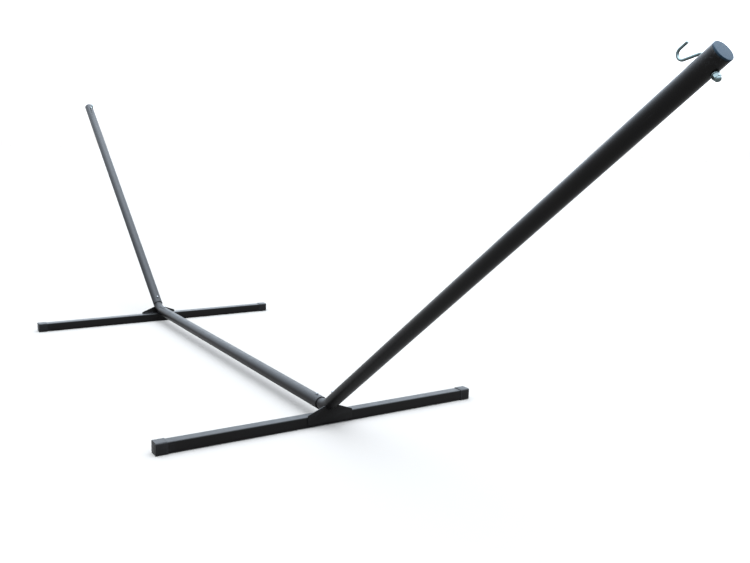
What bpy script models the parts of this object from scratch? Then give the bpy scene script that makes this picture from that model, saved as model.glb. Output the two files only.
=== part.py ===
"""Steel hammock stand: two cross feet, a low beam between them, and a raised arm with a hook at each end.

Metres, +Z up. X runs along the beam and Y along the feet. The origin is on the ground, midway
between the feet. Both ends of the stand are the same pieces, turned half a turn about Z: the right
end is at +X and the left end at -X, and the front is at -Y.

A bent elbow tube is fixed to each foot, with a gusset plate behind it. The beam and an arm slide
over the two legs of the elbow, and a sprung snap button through both walls holds each of them.
"""

import math

import bmesh
import bpy
from mathutils import Vector

# Overall sizes
FOOT_SPACING = 1.800  # between the centre lines of the two feet
FOOT_LENGTH = 1.240  # over the end caps
ARM_TUBE_LENGTH = 1.725
ARM_ANGLE = math.radians(38.1)  # above the ground

# Clearances
GAP = 0.0003  # between pieces that touch
SLEEVE_CLEARANCE = 0.0015  # all round the elbow, inside the beam and the arms
BUTTON_CLEARANCE = 0.0004  # all round a snap button
SHANK_CLEARANCE = 0.0008  # all round the hook's shank, in the arm

# Feet: square tube with slip-on plastic caps
FOOT_SIDE = 0.038
FOOT_WALL = 0.0015
FOOT_CORNER = 0.004
CAP_WALL = 0.0020
CAP_END = 0.0030
CAP_LENGTH = 0.040

# Gusset plate on the outer face of each foot
GUSSET_THICKNESS = 0.0030
GUSSET_HALF_LENGTH = 0.0885
GUSSET_LOW_EDGE = 0.0080  # above the underside of the foot tube
GUSSET_END_RISE = 0.0060  # its ends, above the top of the foot
GUSSET_SLOPE = math.radians(20.9)

# Round tubes
TUBE_D = 0.047
TUBE_WALL = 0.0015
ELBOW_WALL = 0.0020
ELBOW_BEND_RADIUS = 0.095
CORNER_INSET = 0.0045  # the elbow's corner, inward of the foot's centre line
BEAM_SETBACK = 0.041  # from the corner to the end of the beam
ARM_SETBACK = 0.038  # from the corner to the end of the arm
SPIGOT_DEPTH = 0.120  # how far each leg of the elbow reaches into its tube

# Snap buttons and their V springs
BUTTON_D = 0.009
BUTTON_PROUD = 0.0065  # above the outer tube
BUTTON_FROM_END = 0.030
BUTTON_COLLAR_D = 0.0125
BUTTON_COLLAR_THICKNESS = 0.0012
SPRING_WIDTH = 0.008
SPRING_THICKNESS = 0.0010
SPRING_PAD_HALF = 0.008  # the flat under the button
SPRING_REACH = 0.034  # from the button to the spring's bend
SPRING_BEND_RADIUS = 0.006

# Hook bolt, washer and cap nut near the top of each arm
HOOK_WIRE_D = 0.0065
HOOK_FROM_END = 0.0315
HOOK_KNEE_RADIUS = 0.0065
HOOK_KNEE_TURN = math.radians(66)
HOOK_RUN = 0.0350  # from the knee to the bowl
HOOK_BOWL_RADIUS = 0.0120
HOOK_BOWL_TURN = math.radians(157)
HOOK_TIP = 0.0200
SHANK_GRIP = 0.0110  # how far it reaches into the nut
WASHER_D = 0.0180
WASHER_THICKNESS = 0.0016
NUT_ACROSS_FLATS = 0.0150
NUT_HEIGHT = 0.0080  # of its hexagon
NUT_DOME_D = 0.0140
NUT_DOME_HEIGHT = 0.0080

# Plug in the top of each arm
PLUG_FLANGE = 0.0045
PLUG_DEPTH = 0.020
PLUG_WALL = 0.0020

# Fineness of the meshes
TUBE_SIDES = 40
SMALL_SIDES = 18
BEND_STEPS = 6

# Worked out from the sizes above
TUBE_R = TUBE_D / 2
TUBE_INNER_R = TUBE_R - TUBE_WALL
ELBOW_R = TUBE_INNER_R - SLEEVE_CLEARANCE
ELBOW_INNER_R = ELBOW_R - ELBOW_WALL
FOOT_X = FOOT_SPACING / 2
CORNER_X = FOOT_X - CORNER_INSET
FOOT_BOTTOM = CAP_WALL + GAP
FOOT_TOP = FOOT_BOTTOM + FOOT_SIDE
BEND_TANGENT = ELBOW_BEND_RADIUS * math.tan(ARM_ANGLE / 2)
HOOK_S = ARM_SETBACK + ARM_TUBE_LENGTH - HOOK_FROM_END  # along the arm, from the corner
NUT_TOP = TUBE_R + GAP + WASHER_THICKNESS + GAP  # below the arm's axis
SHANK_END = NUT_TOP + SHANK_GRIP


def beam_axis_height():
    """The elbow rests on the round inner top edge of the foot, where its bend may have begun."""
    edge_x = FOOT_X - FOOT_SIDE / 2 + FOOT_CORNER
    edge_z = FOOT_TOP - FOOT_CORNER
    into_bend = edge_x - (CORNER_X - BEND_TANGENT)
    into_bend = min(max(into_bend, 0.0), ELBOW_BEND_RADIUS * math.sin(ARM_ANGLE))
    reach = ELBOW_BEND_RADIUS + ELBOW_R + FOOT_CORNER + GAP
    return edge_z + math.sqrt(reach**2 - into_bend**2) - ELBOW_BEND_RADIUS


BEAM_Z = beam_axis_height()


def clear_scene():
    for item in list(bpy.data.objects):
        bpy.data.objects.remove(item, do_unlink=True)


def make_material(name, colour, roughness, metallic):
    material = bpy.data.materials.new(name)
    material.use_nodes = True
    shader = material.node_tree.nodes["Principled BSDF"]
    shader.inputs["Base Color"].default_value = (*colour, 1.0)
    shader.inputs["Roughness"].default_value = roughness
    shader.inputs["Metallic"].default_value = metallic
    return material


def make_empty(name, location=(0, 0, 0), rotation=(0, 0, 0), parent=None):
    empty = bpy.data.objects.new(name, None)
    empty.location = location
    empty.rotation_euler = rotation
    empty.parent = parent
    bpy.context.scene.collection.objects.link(empty)
    return empty


def place(name, mesh, material, parent=None, location=(0, 0, 0), rotation=(0, 0, 0)):
    piece = bpy.data.objects.new(name, mesh)
    piece.location = location
    piece.rotation_euler = rotation
    piece.parent = parent
    if material is not None:
        mesh.materials.clear()
        mesh.materials.append(material)
    bpy.context.scene.collection.objects.link(piece)
    return piece


def cut(piece, cutter):
    """Takes the cutter's shape out of the piece."""
    cutter.hide_render = True
    cutter.display_type = "WIRE"
    boolean = piece.modifiers.new("cut", "BOOLEAN")
    boolean.operation = "DIFFERENCE"
    boolean.object = cutter


def mesh_from(name, bm, smooth=True):
    bmesh.ops.recalc_face_normals(bm, faces=bm.faces[:])
    mesh = bpy.data.meshes.new(name)
    bm.to_mesh(mesh)
    bm.free()
    if smooth:
        mesh.shade_smooth()
        mesh.set_sharp_from_angle(angle=math.radians(35))
    return mesh


def loft(name, rings, closed_loop):
    """Joins rings of points. A closed loop runs back to its first ring; otherwise the ends are capped."""
    bm = bmesh.new()
    loops = [[bm.verts.new(point) for point in ring] for ring in rings]
    pairs = list(zip(loops, loops[1:]))
    if closed_loop:
        pairs.append((loops[-1], loops[0]))
    else:
        bm.faces.new(loops[0])
        bm.faces.new(loops[-1])
    for one, other in pairs:
        for i in range(len(one)):
            j = (i + 1) % len(one)
            bm.faces.new((one[i], one[j], other[j], other[i]))
    return mesh_from(name, bm)


def turned(name, profile, sides, closed_loop):
    """Spins a profile of (radius, height) points about Z. An open profile starts and ends on the axis."""
    bm = bmesh.new()
    points = [bm.verts.new((radius, 0, height)) for radius, height in profile]
    edges = [bm.edges.new(pair) for pair in zip(points, points[1:])]
    if closed_loop:
        edges.append(bm.edges.new((points[-1], points[0])))
    bmesh.ops.spin(
        bm, geom=points + edges, cent=(0, 0, 0), axis=(0, 0, 1), angle=2 * math.pi, steps=sides
    )
    bmesh.ops.remove_doubles(bm, verts=bm.verts[:], dist=1e-6)
    return mesh_from(name, bm)


def circle_ring(centre, direction, radius, sides):
    """A circle square to a direction that lies in the XZ plane."""
    across = Vector((0, 1, 0))
    up = across.cross(direction)
    angles = [2 * math.pi * i / sides for i in range(sides)]
    return [centre + radius * (math.cos(a) * across + math.sin(a) * up) for a in angles]


def round_tube(name, length, outer, inner, sides):
    """A straight tube along +X from the origin, open at both ends."""
    along = Vector((1, 0, 0))
    stations = [(0.0, outer), (length, outer), (length, inner), (0.0, inner)]
    rings = [circle_ring(along * x, along, radius, sides) for x, radius in stations]
    return loft(name, rings, closed_loop=True)


def round_bar(name, length, radius, sides):
    """A solid bar along +X from the origin."""
    along = Vector((1, 0, 0))
    rings = [circle_ring(along * x, along, radius, sides) for x in (0.0, length)]
    return loft(name, rings, closed_loop=False)


def rounded_square(side, corner, corner_steps=4):
    """Points (u, v) of a square with round corners, centred on the origin."""
    half = side / 2 - corner
    points = []
    for quarter in range(4):
        middle = math.radians(45 + 90 * quarter)
        corner_u = half * math.copysign(1, math.cos(middle))
        corner_v = half * math.copysign(1, math.sin(middle))
        for step in range(corner_steps + 1):
            angle = math.radians(90) * (quarter + step / corner_steps)
            points.append((corner_u + corner * math.cos(angle), corner_v + corner * math.sin(angle)))
    return points


def square_ring(side, corner, y):
    return [Vector((u, y, v)) for u, v in rounded_square(side, corner)]


def elbow_stations():
    """Centres and directions along the elbow, from its beam leg to its arm leg, about its corner."""
    level = Vector((1, 0, 0))
    raised = Vector((math.cos(ARM_ANGLE), 0, math.sin(ARM_ANGLE)))
    stations = [(level * -(BEAM_SETBACK + SPIGOT_DEPTH), level)]
    for step in range(BEND_STEPS + 1):
        angle = ARM_ANGLE * step / BEND_STEPS
        centre = Vector((
            -BEND_TANGENT + ELBOW_BEND_RADIUS * math.sin(angle),
            0,
            ELBOW_BEND_RADIUS * (1 - math.cos(angle)),
        ))
        stations.append((centre, Vector((math.cos(angle), 0, math.sin(angle)))))
    stations.append((raised * (ARM_SETBACK + SPIGOT_DEPTH), raised))
    return stations


def elbow_mesh():
    stations = elbow_stations()
    outer = [circle_ring(centre, way, ELBOW_R, TUBE_SIDES) for centre, way in stations]
    inner = [circle_ring(centre, way, ELBOW_INNER_R, TUBE_SIDES) for centre, way in stations]
    return loft("elbow_tube", outer + inner[::-1], closed_loop=True)


def elbow_cutter_mesh():
    stations = elbow_stations()
    rings = [circle_ring(centre, way, ELBOW_R + GAP, TUBE_SIDES) for centre, way in stations]
    return loft("elbow_cutter", rings, closed_loop=False)


def foot_tube_mesh():
    half = FOOT_LENGTH / 2 - CAP_END - GAP
    inner_side = FOOT_SIDE - 2 * FOOT_WALL
    inner_corner = FOOT_CORNER - FOOT_WALL
    rings = [
        square_ring(FOOT_SIDE, FOOT_CORNER, -half),
        square_ring(FOOT_SIDE, FOOT_CORNER, half),
        square_ring(inner_side, inner_corner, half),
        square_ring(inner_side, inner_corner, -half),
    ]
    return loft("foot_tube", rings, closed_loop=True)


def foot_cap_mesh():
    """A square cup. Its closed end is on the XZ plane and its mouth faces -Y."""
    cavity_side = FOOT_SIDE + 2 * GAP
    cavity_corner = FOOT_CORNER + GAP
    outer_side = cavity_side + 2 * CAP_WALL
    outer_corner = cavity_corner + CAP_WALL
    chamfer = CAP_WALL / 2
    rings = [
        square_ring(outer_side - 2 * chamfer, outer_corner - chamfer, 0.0),
        square_ring(outer_side, outer_corner, -chamfer),
        square_ring(outer_side, outer_corner, -CAP_LENGTH),
        square_ring(cavity_side, cavity_corner, -CAP_LENGTH),
        square_ring(cavity_side, cavity_corner, -CAP_END),
    ]
    return loft("foot_cap", rings, closed_loop=False)


def gusset_mesh():
    """A plate in the YZ plane, thick along +X, with its heights measured from the ground."""
    low = FOOT_BOTTOM + GUSSET_LOW_EDGE
    shoulder = FOOT_TOP + GUSSET_END_RISE
    peak = shoulder + (GUSSET_HALF_LENGTH - ELBOW_R) * math.tan(GUSSET_SLOPE)
    outline = [
        (-GUSSET_HALF_LENGTH, low),
        (GUSSET_HALF_LENGTH, low),
        (GUSSET_HALF_LENGTH, shoulder),
        (ELBOW_R, peak),
        (-ELBOW_R, peak),
        (-GUSSET_HALF_LENGTH, shoulder),
    ]
    rings = [[Vector((x, y, z)) for y, z in outline] for x in (0.0, GUSSET_THICKNESS)]
    return loft("gusset_plate", rings, closed_loop=False)


def button_mesh():
    """Along +Z from the tube's axis: a collar inside the elbow and a domed pin through both walls."""
    pin = BUTTON_D / 2
    collar = BUTTON_COLLAR_D / 2
    collar_top = math.sqrt(ELBOW_INNER_R**2 - collar**2) - GAP
    top = TUBE_R + BUTTON_PROUD
    dome = pin * 0.7
    profile = [(0.0, collar_top - BUTTON_COLLAR_THICKNESS)]
    profile.append((collar, collar_top - BUTTON_COLLAR_THICKNESS))
    profile.append((collar, collar_top))
    profile.append((pin, collar_top))
    dome_steps = 4
    for step in range(dome_steps):
        angle = math.radians(90) * step / dome_steps
        profile.append((pin * math.cos(angle), top - dome + dome * math.sin(angle)))
    profile.append((0.0, top))
    return turned("snap_button", profile, SMALL_SIDES, closed_loop=False)


def spring_line():
    """The V spring's centre line in its XZ plane: a pad under the button, a slope, a bend and a back leg."""
    collar = BUTTON_COLLAR_D / 2
    half = SPRING_THICKNESS / 2
    pad_z = math.sqrt(ELBOW_INNER_R**2 - collar**2) - BUTTON_COLLAR_THICKNESS - 2 * GAP - half
    floor_z = -math.sqrt(ELBOW_INNER_R**2 - (SPRING_WIDTH / 2) ** 2) + GAP + half
    points = [(-SPRING_PAD_HALF, pad_z), (SPRING_PAD_HALF, pad_z)]
    bend_steps = 8
    for step in range(bend_steps + 1):
        angle = math.radians(75 - 150 * step / bend_steps)
        points.append((
            SPRING_REACH + SPRING_BEND_RADIUS * math.cos(angle),
            SPRING_BEND_RADIUS * math.sin(angle),
        ))
    points.append((SPRING_PAD_HALF, floor_z))
    points.append((-SPRING_PAD_HALF, floor_z))
    return [Vector((x, 0, z)) for x, z in points]


def spring_mesh():
    """The strip's two faces lie half a thickness on each side of its centre line."""
    line = spring_line()
    half_width = Vector((0, SPRING_WIDTH / 2, 0))
    rings = []
    for i, point in enumerate(line):
        before = (point - line[max(i - 1, 0)]).normalized()
        after = (line[min(i + 1, len(line) - 1)] - point).normalized()
        along = (before + after).normalized()
        lean = max(before.dot(along), after.dot(along))
        out = Vector((-along.z, 0, along.x)) * (SPRING_THICKNESS / 2 / lean)
        rings.append([
            point + out + half_width,
            point + out - half_width,
            point - out - half_width,
            point - out + half_width,
        ])
    return loft("button_spring", rings, closed_loop=False)


def arc_stations(start, way, radius, turn, steps):
    """Centres and directions round an arc in the XZ plane. A positive turn goes from +Z towards -X."""
    side = Vector((-way.z, 0, way.x)) * math.copysign(1, turn)
    centre = start + side * radius
    stations = []
    for step in range(1, steps + 1):
        angle = abs(turn) * step / steps
        point = centre - side * radius * math.cos(angle) + way * radius * math.sin(angle)
        stations.append((point, way * math.cos(angle) + side * math.sin(angle)))
    return stations


def hook_mesh():
    """The hook bolt in its arm's frame: its shank is on Z and its bowl lies towards -X, down the arm."""
    up = Vector((0, 0, 1))
    radius = HOOK_WIRE_D / 2
    knee_start = up * (TUBE_R - TUBE_WALL)
    knee = arc_stations(knee_start, up, HOOK_KNEE_RADIUS, HOOK_KNEE_TURN, 5)
    run_start, run_way = knee[-1]
    bowl_start = run_start + run_way * HOOK_RUN
    bowl = arc_stations(bowl_start, run_way, HOOK_BOWL_RADIUS, -HOOK_BOWL_TURN, 10)
    tip_start, tip_way = bowl[-1]
    tip_end = tip_start + tip_way * HOOK_TIP
    path = [(up * -SHANK_END, up, radius - 0.0006), (up * -(SHANK_END - 0.0006), up, radius)]
    path.append((knee_start, up, radius))
    path += [(point, way, radius) for point, way in knee]
    path.append((bowl_start, run_way, radius))
    path += [(point, way, radius) for point, way in bowl]
    path.append((tip_end - tip_way * 0.0012, tip_way, radius))
    path.append((tip_end, tip_way, radius - 0.0012))
    rings = [circle_ring(point, way, size, SMALL_SIDES) for point, way, size in path]
    return loft("hook_bolt", rings, closed_loop=False)


def nut_mesh():
    """A cap nut from the XY plane downwards: a hexagon with its corners taken off, then a closed dome."""
    bore = HOOK_WIRE_D / 2 + GAP
    flat = NUT_ACROSS_FLATS / 2
    corner = flat / math.cos(math.radians(30))
    dome = NUT_DOME_D / 2
    sides = SMALL_SIDES

    def hexagon(limit, z):
        ring = []
        for i in range(sides):
            angle = 2 * math.pi * i / sides
            off_flat = (angle + math.radians(30)) % math.radians(60) - math.radians(30)
            reach = min(flat / math.cos(off_flat), limit)
            ring.append(Vector((reach * math.cos(angle), reach * math.sin(angle), z)))
        return ring

    chamfer = corner - flat
    rings = [
        hexagon(bore, -(SHANK_GRIP + GAP)),
        hexagon(bore, 0.0),
        hexagon(flat, 0.0),
        hexagon(corner, -chamfer),
        hexagon(corner, chamfer - NUT_HEIGHT),
        hexagon(flat, -NUT_HEIGHT),
        hexagon(dome, -NUT_HEIGHT),
    ]
    straight = NUT_HEIGHT + NUT_DOME_HEIGHT - dome
    dome_steps = 5
    for step in range(dome_steps):
        angle = math.radians(90) * step / dome_steps
        rings.append(hexagon(dome * math.cos(angle), -straight - dome * math.sin(angle)))
    return loft("hook_nut", rings, closed_loop=False)


def washer_mesh():
    bore = HOOK_WIRE_D / 2 + GAP
    edge = WASHER_D / 2
    profile = [(bore, 0.0), (edge, 0.0), (edge, -WASHER_THICKNESS), (bore, -WASHER_THICKNESS)]
    return turned("hook_washer", profile, SMALL_SIDES, closed_loop=True)


def plug_mesh():
    """A flange on the XY plane, domed a little at its edge, and a hollow barrel below it."""
    barrel = TUBE_INNER_R - GAP
    edge = PLUG_FLANGE / 3
    profile = [
        (0.0, PLUG_FLANGE),
        (TUBE_R - edge, PLUG_FLANGE),
        (TUBE_R - edge * 0.3, PLUG_FLANGE - edge * 0.3),
        (TUBE_R, PLUG_FLANGE - edge),
        (TUBE_R, 0.0),
        (barrel, 0.0),
        (barrel, -PLUG_DEPTH),
        (barrel - PLUG_WALL, -PLUG_DEPTH),
        (barrel - PLUG_WALL, 0.0),
        (0.0, 0.0),
    ]
    return turned("arm_plug", profile, TUBE_SIDES, closed_loop=False)


def hole_cutter(name, radius, low, high, parent, x):
    """A bar square to a tube's axis, from one height to another above that axis."""
    mesh = round_bar(name, high - low, radius, SMALL_SIDES)
    upright = (0, -math.radians(90), 0)
    return place(name, mesh, None, parent, (x, 0, low), upright)


def build_end(side, turn, finish):
    """The foot, elbow, gusset and arm of one end, and the buttons of its two sleeve joints."""
    end = make_empty(f"end_{side}", rotation=(0, 0, turn))
    corner = make_empty(f"corner_{side}", (CORNER_X, 0, BEAM_Z), parent=end)
    arm = make_empty(f"arm_axis_{side}", rotation=(0, -ARM_ANGLE, 0), parent=corner)
    coat = finish["powder_coat"]

    foot_z = FOOT_BOTTOM + FOOT_SIDE / 2
    place(f"foot_tube_{side}", foot_tube_mesh(), coat, end, (FOOT_X, 0, foot_z))
    cap_places = {"front": (-1, math.pi), "back": (1, 0.0)}
    for which, (sign, facing) in cap_places.items():
        true_name = which if turn == 0 else {"front": "back", "back": "front"}[which]
        spot = (FOOT_X, sign * FOOT_LENGTH / 2, foot_z)
        place(f"foot_cap_{side}_{true_name}", foot_cap_mesh(), finish["cap_plastic"], end, spot, (0, 0, facing))

    elbow = place(f"elbow_tube_{side}", elbow_mesh(), coat, corner)
    gusset_x = FOOT_X + FOOT_SIDE / 2 + GAP
    gusset = place(f"gusset_plate_{side}", gusset_mesh(), coat, end, (gusset_x, 0, 0))
    cut(gusset, place(f"notch_cutter_{side}", elbow_cutter_mesh(), None, corner))

    arm_tube_mesh = round_tube("arm_tube", ARM_TUBE_LENGTH, TUBE_R, TUBE_INNER_R, TUBE_SIDES)
    arm_tube = place(f"arm_tube_{side}", arm_tube_mesh, coat, arm, (ARM_SETBACK, 0, 0))
    arm_end = ARM_SETBACK + ARM_TUBE_LENGTH
    plug_spot = (arm_end + GAP, 0, 0)
    facing_out = (0, math.radians(90), 0)
    place(f"arm_plug_{side}", plug_mesh(), finish["plug_plastic"], arm, plug_spot, facing_out)

    shank_hole = HOOK_WIRE_D / 2 + SHANK_CLEARANCE
    cut(arm_tube, hole_cutter(f"shank_cutter_{side}", shank_hole, -TUBE_D, TUBE_D, arm, HOOK_S))
    place(f"hook_bolt_{side}", hook_mesh(), finish["zinc"], arm, (HOOK_S, 0, 0))
    washer_z = -(TUBE_R + GAP)
    place(f"hook_washer_{side}", washer_mesh(), finish["zinc"], arm, (HOOK_S, 0, washer_z))
    place(f"hook_nut_{side}", nut_mesh(), finish["zinc"], arm, (HOOK_S, 0, -NUT_TOP))

    joints = {
        "beam": (corner, -(BEAM_SETBACK + BUTTON_FROM_END), math.pi),
        "arm": (arm, ARM_SETBACK + BUTTON_FROM_END, 0.0),
    }
    beam_cutter = None
    for which, (frame, x, facing) in joints.items():
        hole = BUTTON_D / 2 + BUTTON_CLEARANCE
        cutter = hole_cutter(f"{which}_button_cutter_{side}", hole, 0.0, TUBE_D, frame, x)
        cut(elbow, cutter)
        if which == "arm":
            cut(arm_tube, cutter)
        else:
            beam_cutter = cutter
        button_name = f"snap_button_{which}_{side}"
        spring_name = f"button_spring_{which}_{side}"
        place(button_name, button_mesh(), finish["button_steel"], frame, (x, 0, 0))
        place(spring_name, spring_mesh(), finish["spring_steel"], frame, (x, 0, 0), (0, 0, facing))
    return beam_cutter


def build_stand():
    finish = {
        "powder_coat": make_material("powder_coat", (0.012, 0.013, 0.015), 0.38, 0.0),
        "cap_plastic": make_material("cap_plastic", (0.018, 0.018, 0.020), 0.50, 0.0),
        "plug_plastic": make_material("plug_plastic", (0.050, 0.055, 0.065), 0.35, 0.0),
        "zinc": make_material("zinc", (0.60, 0.64, 0.63), 0.28, 1.0),
        "button_steel": make_material("button_steel", (0.62, 0.62, 0.62), 0.30, 1.0),
        "spring_steel": make_material("spring_steel", (0.35, 0.35, 0.36), 0.35, 1.0),
    }
    cutters = [
        build_end("right", 0.0, finish),
        build_end("left", math.pi, finish),
    ]
    beam_half = CORNER_X - BEAM_SETBACK
    beam_mesh = round_tube("beam_tube", 2 * beam_half, TUBE_R, TUBE_INNER_R, TUBE_SIDES)
    beam = place("beam_tube", beam_mesh, finish["powder_coat"], None, (-beam_half, 0, BEAM_Z))
    for cutter in cutters:
        cut(beam, cutter)


clear_scene()
build_stand()
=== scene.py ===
"""A black steel hammock stand in a pale studio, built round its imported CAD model.

Metres, +Z up, the beam along X and the feet along Y. The pieces of one end are made for the right end
and turned half a turn about Z for the left end, as in the CAD.
"""

import math

import bmesh
import bpy
import numpy as np
from mathutils import Matrix, Vector


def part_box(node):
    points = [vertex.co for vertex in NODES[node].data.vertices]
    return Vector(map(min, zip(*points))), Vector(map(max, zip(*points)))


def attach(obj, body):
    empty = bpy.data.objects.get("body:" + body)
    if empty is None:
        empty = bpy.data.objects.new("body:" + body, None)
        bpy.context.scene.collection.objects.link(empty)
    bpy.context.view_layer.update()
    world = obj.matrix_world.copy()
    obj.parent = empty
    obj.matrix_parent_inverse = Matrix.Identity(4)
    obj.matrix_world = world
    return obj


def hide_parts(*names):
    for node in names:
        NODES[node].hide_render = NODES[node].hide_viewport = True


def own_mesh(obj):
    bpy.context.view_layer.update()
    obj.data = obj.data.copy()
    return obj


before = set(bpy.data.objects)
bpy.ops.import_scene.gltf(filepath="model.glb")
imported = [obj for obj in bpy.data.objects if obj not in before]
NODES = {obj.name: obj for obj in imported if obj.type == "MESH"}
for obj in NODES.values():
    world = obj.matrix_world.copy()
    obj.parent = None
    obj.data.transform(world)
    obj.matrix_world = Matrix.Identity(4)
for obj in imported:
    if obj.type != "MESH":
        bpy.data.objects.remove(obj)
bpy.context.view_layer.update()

IDENTITY = Matrix.Identity(4)
HALF_TURN = Matrix.Rotation(math.pi, 4, "Z")
SIDES = {"right": IDENTITY, "left": HALF_TURN}
X, Y, Z = Vector((1, 0, 0)), Vector((0, 1, 0)), Vector((0, 0, 1))

FINISH_NAME = "_finish"  # after the slot's name, in a material's name

# The CAD's own sizes that can't be read from its boxes and end rings.
GAP = 0.0003  # left between pieces that touch
FOOT_WALL = 0.0015
FOOT_CORNER = 0.004  # radius
CAP_END = 0.0030  # thickness of the closed end
BEND_RADIUS = 0.095  # of the elbow's middle line
BUTTON_D = 0.009
BUTTON_FROM_END = 0.030
BUTTON_PROUD = 0.0065
BUTTON_COLLAR_D = 0.0125
BUTTON_COLLAR_THICKNESS = 0.0012
BUTTON_CLEARANCE = 0.0004
SPRING_WIDTH = 0.008
SPRING_THICKNESS = 0.0010
SPRING_PAD_HALF = 0.008
SPRING_REACH = 0.034
SPRING_BEND_RADIUS = 0.006
WIRE_R = 0.00325
SHANK_CLEARANCE = 0.0008
KNEE_RADIUS = 0.0065
KNEE_TURN = math.radians(66)
HOOK_RUN = 0.0350
BOWL_RADIUS = 0.0120
BOWL_TURN = math.radians(157)
HOOK_TIP = 0.0197  # 0.3 mm short of the CAD's, to stay inside its box
SHANK_GRIP = 0.0110  # how far the shank reaches into the nut
THREAD_PITCH = 0.0011
THREAD_DEPTH = 0.00055
NUT_FLATS = 0.0150
NUT_HEX_HEIGHT = 0.0080
NUT_DOME_R = 0.0070
PLUG_DEPTH = 0.020
PLUG_WALL = 0.0020

# Small shapes of the visual model.
TUBE_RIM = 0.00045
WORN_LENGTH = 0.055  # how far from its ends a tube shows wear
ELBOW_RIM = 0.0005
FOOT_RIM = 0.0004
CAP_ROUND_OVER = 0.0013
CAP_PANEL_MARGIN = 0.0110  # between the end panel and the cap's sides, both together
CAP_GROOVE = 0.0002
CAP_LIP = 0.0045  # from the mouth to the far side of the groove behind its lip
BEAD_SIDES = 14
SEAT_BEAD_R = 0.0023
NOTCH_BEAD_R = 0.0021
STITCH_TOP_R, STITCH_LOW_R = 0.0020, 0.0019
STITCH_MIDDLES = (-0.066, -0.040, 0.040, 0.066)
STITCH_STEP = 0.0006
STITCH_HALF_STEPS = 15
THREADED_LENGTH = 0.026
HOOK_TIP_ROUND = 0.0016
NUT_NECK = 0.0010
PLUG_CROWN = 0.00035


# --- Places, from the CAD nodes ---


def points_of(node):
    """A CAD node's points, each once."""
    points = np.array([vertex.co for vertex in NODES[node].data.vertices], float)
    return np.unique(points.round(6), axis=0)


def end_ring(node, way):
    """Centre, outer radius and inner radius of a tube's end ring, the one furthest along a direction."""
    points = points_of(node)
    along = points @ np.array(way)
    ring = points[along > along.max() - 1e-4]
    centre = ring.mean(0)
    reach = np.linalg.norm(ring - centre, axis=1)
    return Vector(centre), float(reach.max()), float(reach.min())


def long_axis(node):
    """The direction of a long straight piece, towards +X."""
    points = points_of(node)
    way = np.linalg.svd(points - points.mean(0), full_matrices=False)[2][0]
    along = points @ way
    found = Vector(points[along > along.max() - 1e-3].mean(0) - points[along < along.min() + 1e-3].mean(0))
    found.normalize()
    return found if found.x > 0 else -found


ARM = long_axis("arm_tube_right")
ARM_ANGLE = math.atan2(ARM.z, ARM.x)
ARM_UP = Vector((-ARM.z, 0, ARM.x))
beam_end, TUBE_R, TUBE_INNER_R = end_ring("beam_tube", X)
arm_top, _, _ = end_ring("arm_tube_right", ARM)
arm_foot, _, _ = end_ring("arm_tube_right", -ARM)
BEAM_Z = beam_end.z
CORNER = Vector((arm_foot.x - (arm_foot.z - BEAM_Z) * ARM.x / ARM.z, 0, BEAM_Z))
elbow_beam_end, ELBOW_R, ELBOW_INNER_R = end_ring("elbow_tube_right", -X)
elbow_arm_end, _, _ = end_ring("elbow_tube_right", ARM)
ARM_LENGTH = (arm_top - arm_foot).length
BEND_TANGENT = BEND_RADIUS * math.tan(ARM_ANGLE / 2)
BEND_CENTRE = CORNER + Vector((-BEND_TANGENT, 0, BEND_RADIUS))

foot_low, foot_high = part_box("foot_tube_right")
FOOT_X = (foot_low.x + foot_high.x) / 2
FOOT_SIDE = foot_high.x - foot_low.x
FOOT_MID_Z = (foot_low.z + foot_high.z) / 2
cap_low, cap_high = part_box("foot_cap_right_back")
CAP_SIDE = cap_high.x - cap_low.x
CAP_LENGTH = cap_high.y - cap_low.y
plate_low, plate_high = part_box("gusset_plate_right")
washer_spot = Vector(points_of("hook_washer_right").mean(0))
HOOK_S = (washer_spot - CORNER).dot(ARM)
washer_low, washer_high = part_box("hook_washer_right")
WASHER_R = (washer_high.y - washer_low.y) / 2
across_washer = points_of("hook_washer_right") @ np.array(ARM_UP)
across_nut = points_of("hook_nut_right") @ np.array(ARM_UP)
arm_level = CORNER.dot(ARM_UP)
WASHER_TOP, WASHER_LOW = across_washer.max() - arm_level, across_washer.min() - arm_level
NUT_TOP, NUT_LOW = across_nut.max() - arm_level, across_nut.min() - arm_level
plug_top, _, _ = end_ring("arm_plug_right", ARM)
PLUG_FLANGE = (plug_top - arm_top).dot(ARM) - GAP


def frame_at(origin, x_way, z_way):
    """A matrix with its X and Z along two square directions."""
    x_way, z_way = Vector(x_way).normalized(), Vector(z_way).normalized()
    matrix = Matrix((x_way, z_way.cross(x_way), z_way)).transposed().to_4x4()
    matrix.translation = origin
    return matrix


ARM_FRAME = frame_at(CORNER, ARM, ARM_UP)
CORNER_FRAME = Matrix.Translation(CORNER)


# --- Meshes ---


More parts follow.
